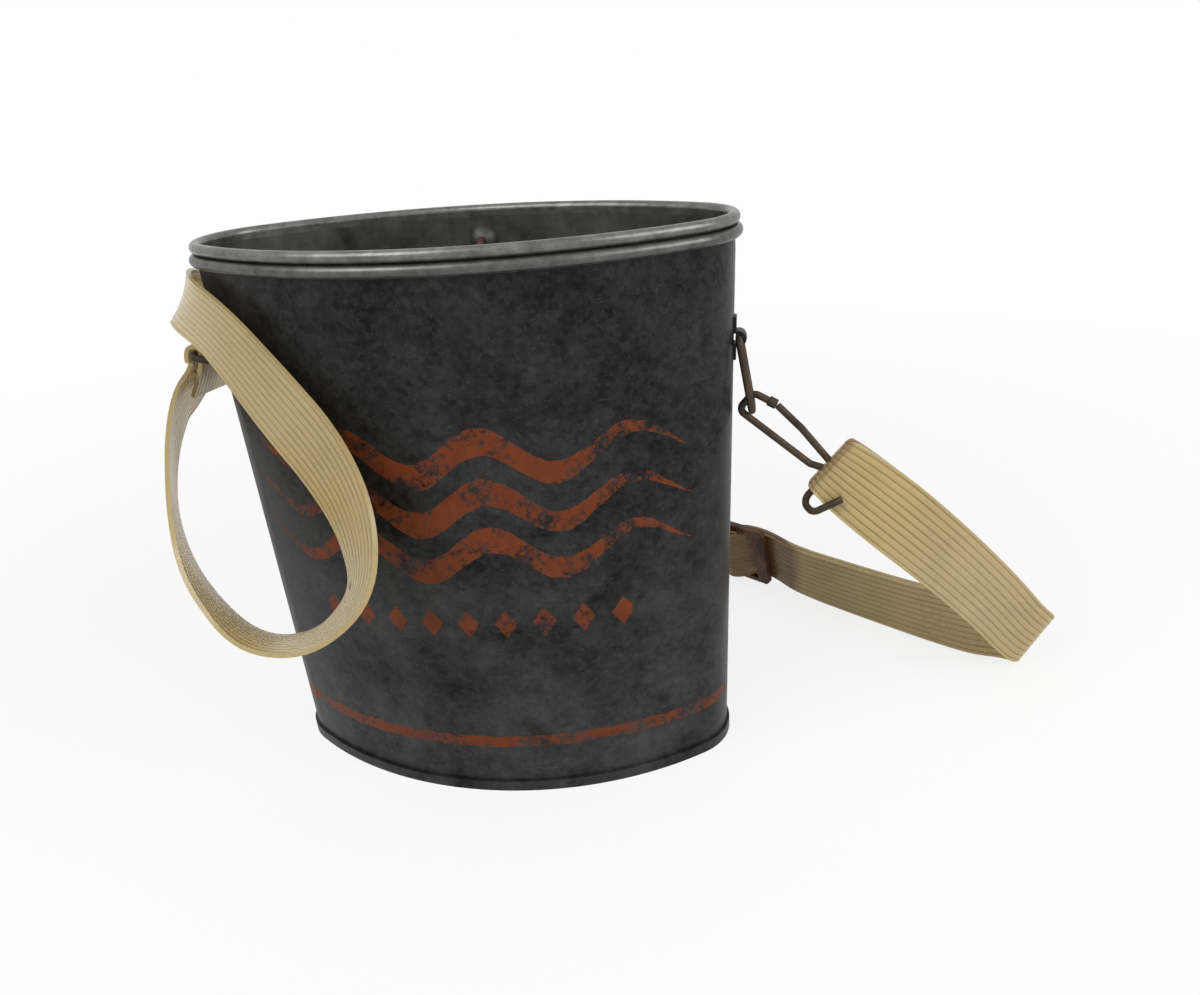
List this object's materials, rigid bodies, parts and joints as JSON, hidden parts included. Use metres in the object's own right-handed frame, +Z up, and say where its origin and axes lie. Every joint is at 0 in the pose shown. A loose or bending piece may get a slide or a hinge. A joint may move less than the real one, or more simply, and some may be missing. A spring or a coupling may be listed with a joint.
{
  "type": "wading bait bucket",
  "caption": "Oval tapered sheet-metal wading bait can with rolled rims, a lift-out perforated pail with a drop bail, and an adjustable carrying strap on wire links and a safety-pin snap.",
  "frame": {"origin": "middle of the can on the surface that it stands on", "axes": "+X along the oval towards the end with the snap, -Y to the painted front, +Z up"},
  "size_m": [0.3628, 0.2495, 0.2135],
  "materials": {
    "zinc": "dark weathered galvanised sheet",
    "pail_zinc": "dull galvanised sheet",
    "wire": "rusty steel wire",
    "slide_brown": "rusted pressed steel",
    "strap_vinyl": "yellowed ribbed vinyl"
  },
  "bodies": {
    "can": {"can_wall": "zinc", "can_bottom": "zinc", "can_seam": "zinc", "can_rim_wire": "wire", "ear_right": "zinc", "ear_left": "zinc", "strap_inner": "strap_vinyl", "strap_outer": "strap_vinyl", "strap_long": "strap_vinyl", "strap_tail": "strap_vinyl"},
    "pail": {"pail_wall": "pail_zinc", "pail_floor": "pail_zinc", "pail_rim_wire": "wire", "boss_front": "pail_zinc", "boss_back": "pail_zinc"},
    "bail": {"bail": "wire"},
    "right_link": {"link_right": "wire"},
    "left_link": {"link_left": "wire"},
    "snap": {"snap_hook": "wire"},
    "gate": {"snap_gate": "wire"},
    "slide": {"strap_slide": "slide_brown"}
  },
  "joints": [
    {"name": "pail_lift", "type": "slide", "parent": "can", "child": "pail", "axis": [0, 0, 1], "range_m": [0, 0.21]},
    {"name": "bail_swing", "type": "hinge", "parent": "pail", "child": "bail", "pos_m": [-0.0045, 0, 0.2], "axis": [0, 1, 0], "range_deg": [-180, 180]},
    {"name": "right_link_swing", "type": "hinge", "parent": "can", "child": "right_link", "pos_m": [0.09834, 0, 0.1695], "axis": [0, -1, 0], "range_deg": [0, 40], "deforming": ["strap_inner", "strap_outer"]},
    {"name": "snap_swing", "type": "hinge", "parent": "right_link", "child": "snap", "pos_m": [0.10279, 0, 0.14287], "axis": [0, -1, 0], "range_deg": [-20, 25], "deforming": ["strap_inner", "strap_outer"]},
    {"name": "gate_press", "type": "hinge", "parent": "snap", "child": "gate", "pos_m": [0.13343, 0, 0.11949], "axis": [0, -1, 0], "range_deg": [0, 6], "stiffness_Nm_per_rad": 0.15, "deforming": ["strap_inner", "strap_outer"]},
    {"name": "left_link_swing", "type": "hinge", "parent": "can", "child": "left_link", "pos_m": [-0.09834, 0, 0.1695], "axis": [0, 1, 0], "range_deg": [-30, 30], "deforming": ["strap_tail", "strap_long"]},
    {"name": "slide_adjust", "type": "slide", "parent": "can", "child": "slide", "axis": [0.809, -0.5878, 0], "range_m": [0, 0.045], "deforming": ["strap_inner", "strap_outer", "strap_long"]}
  ]
}
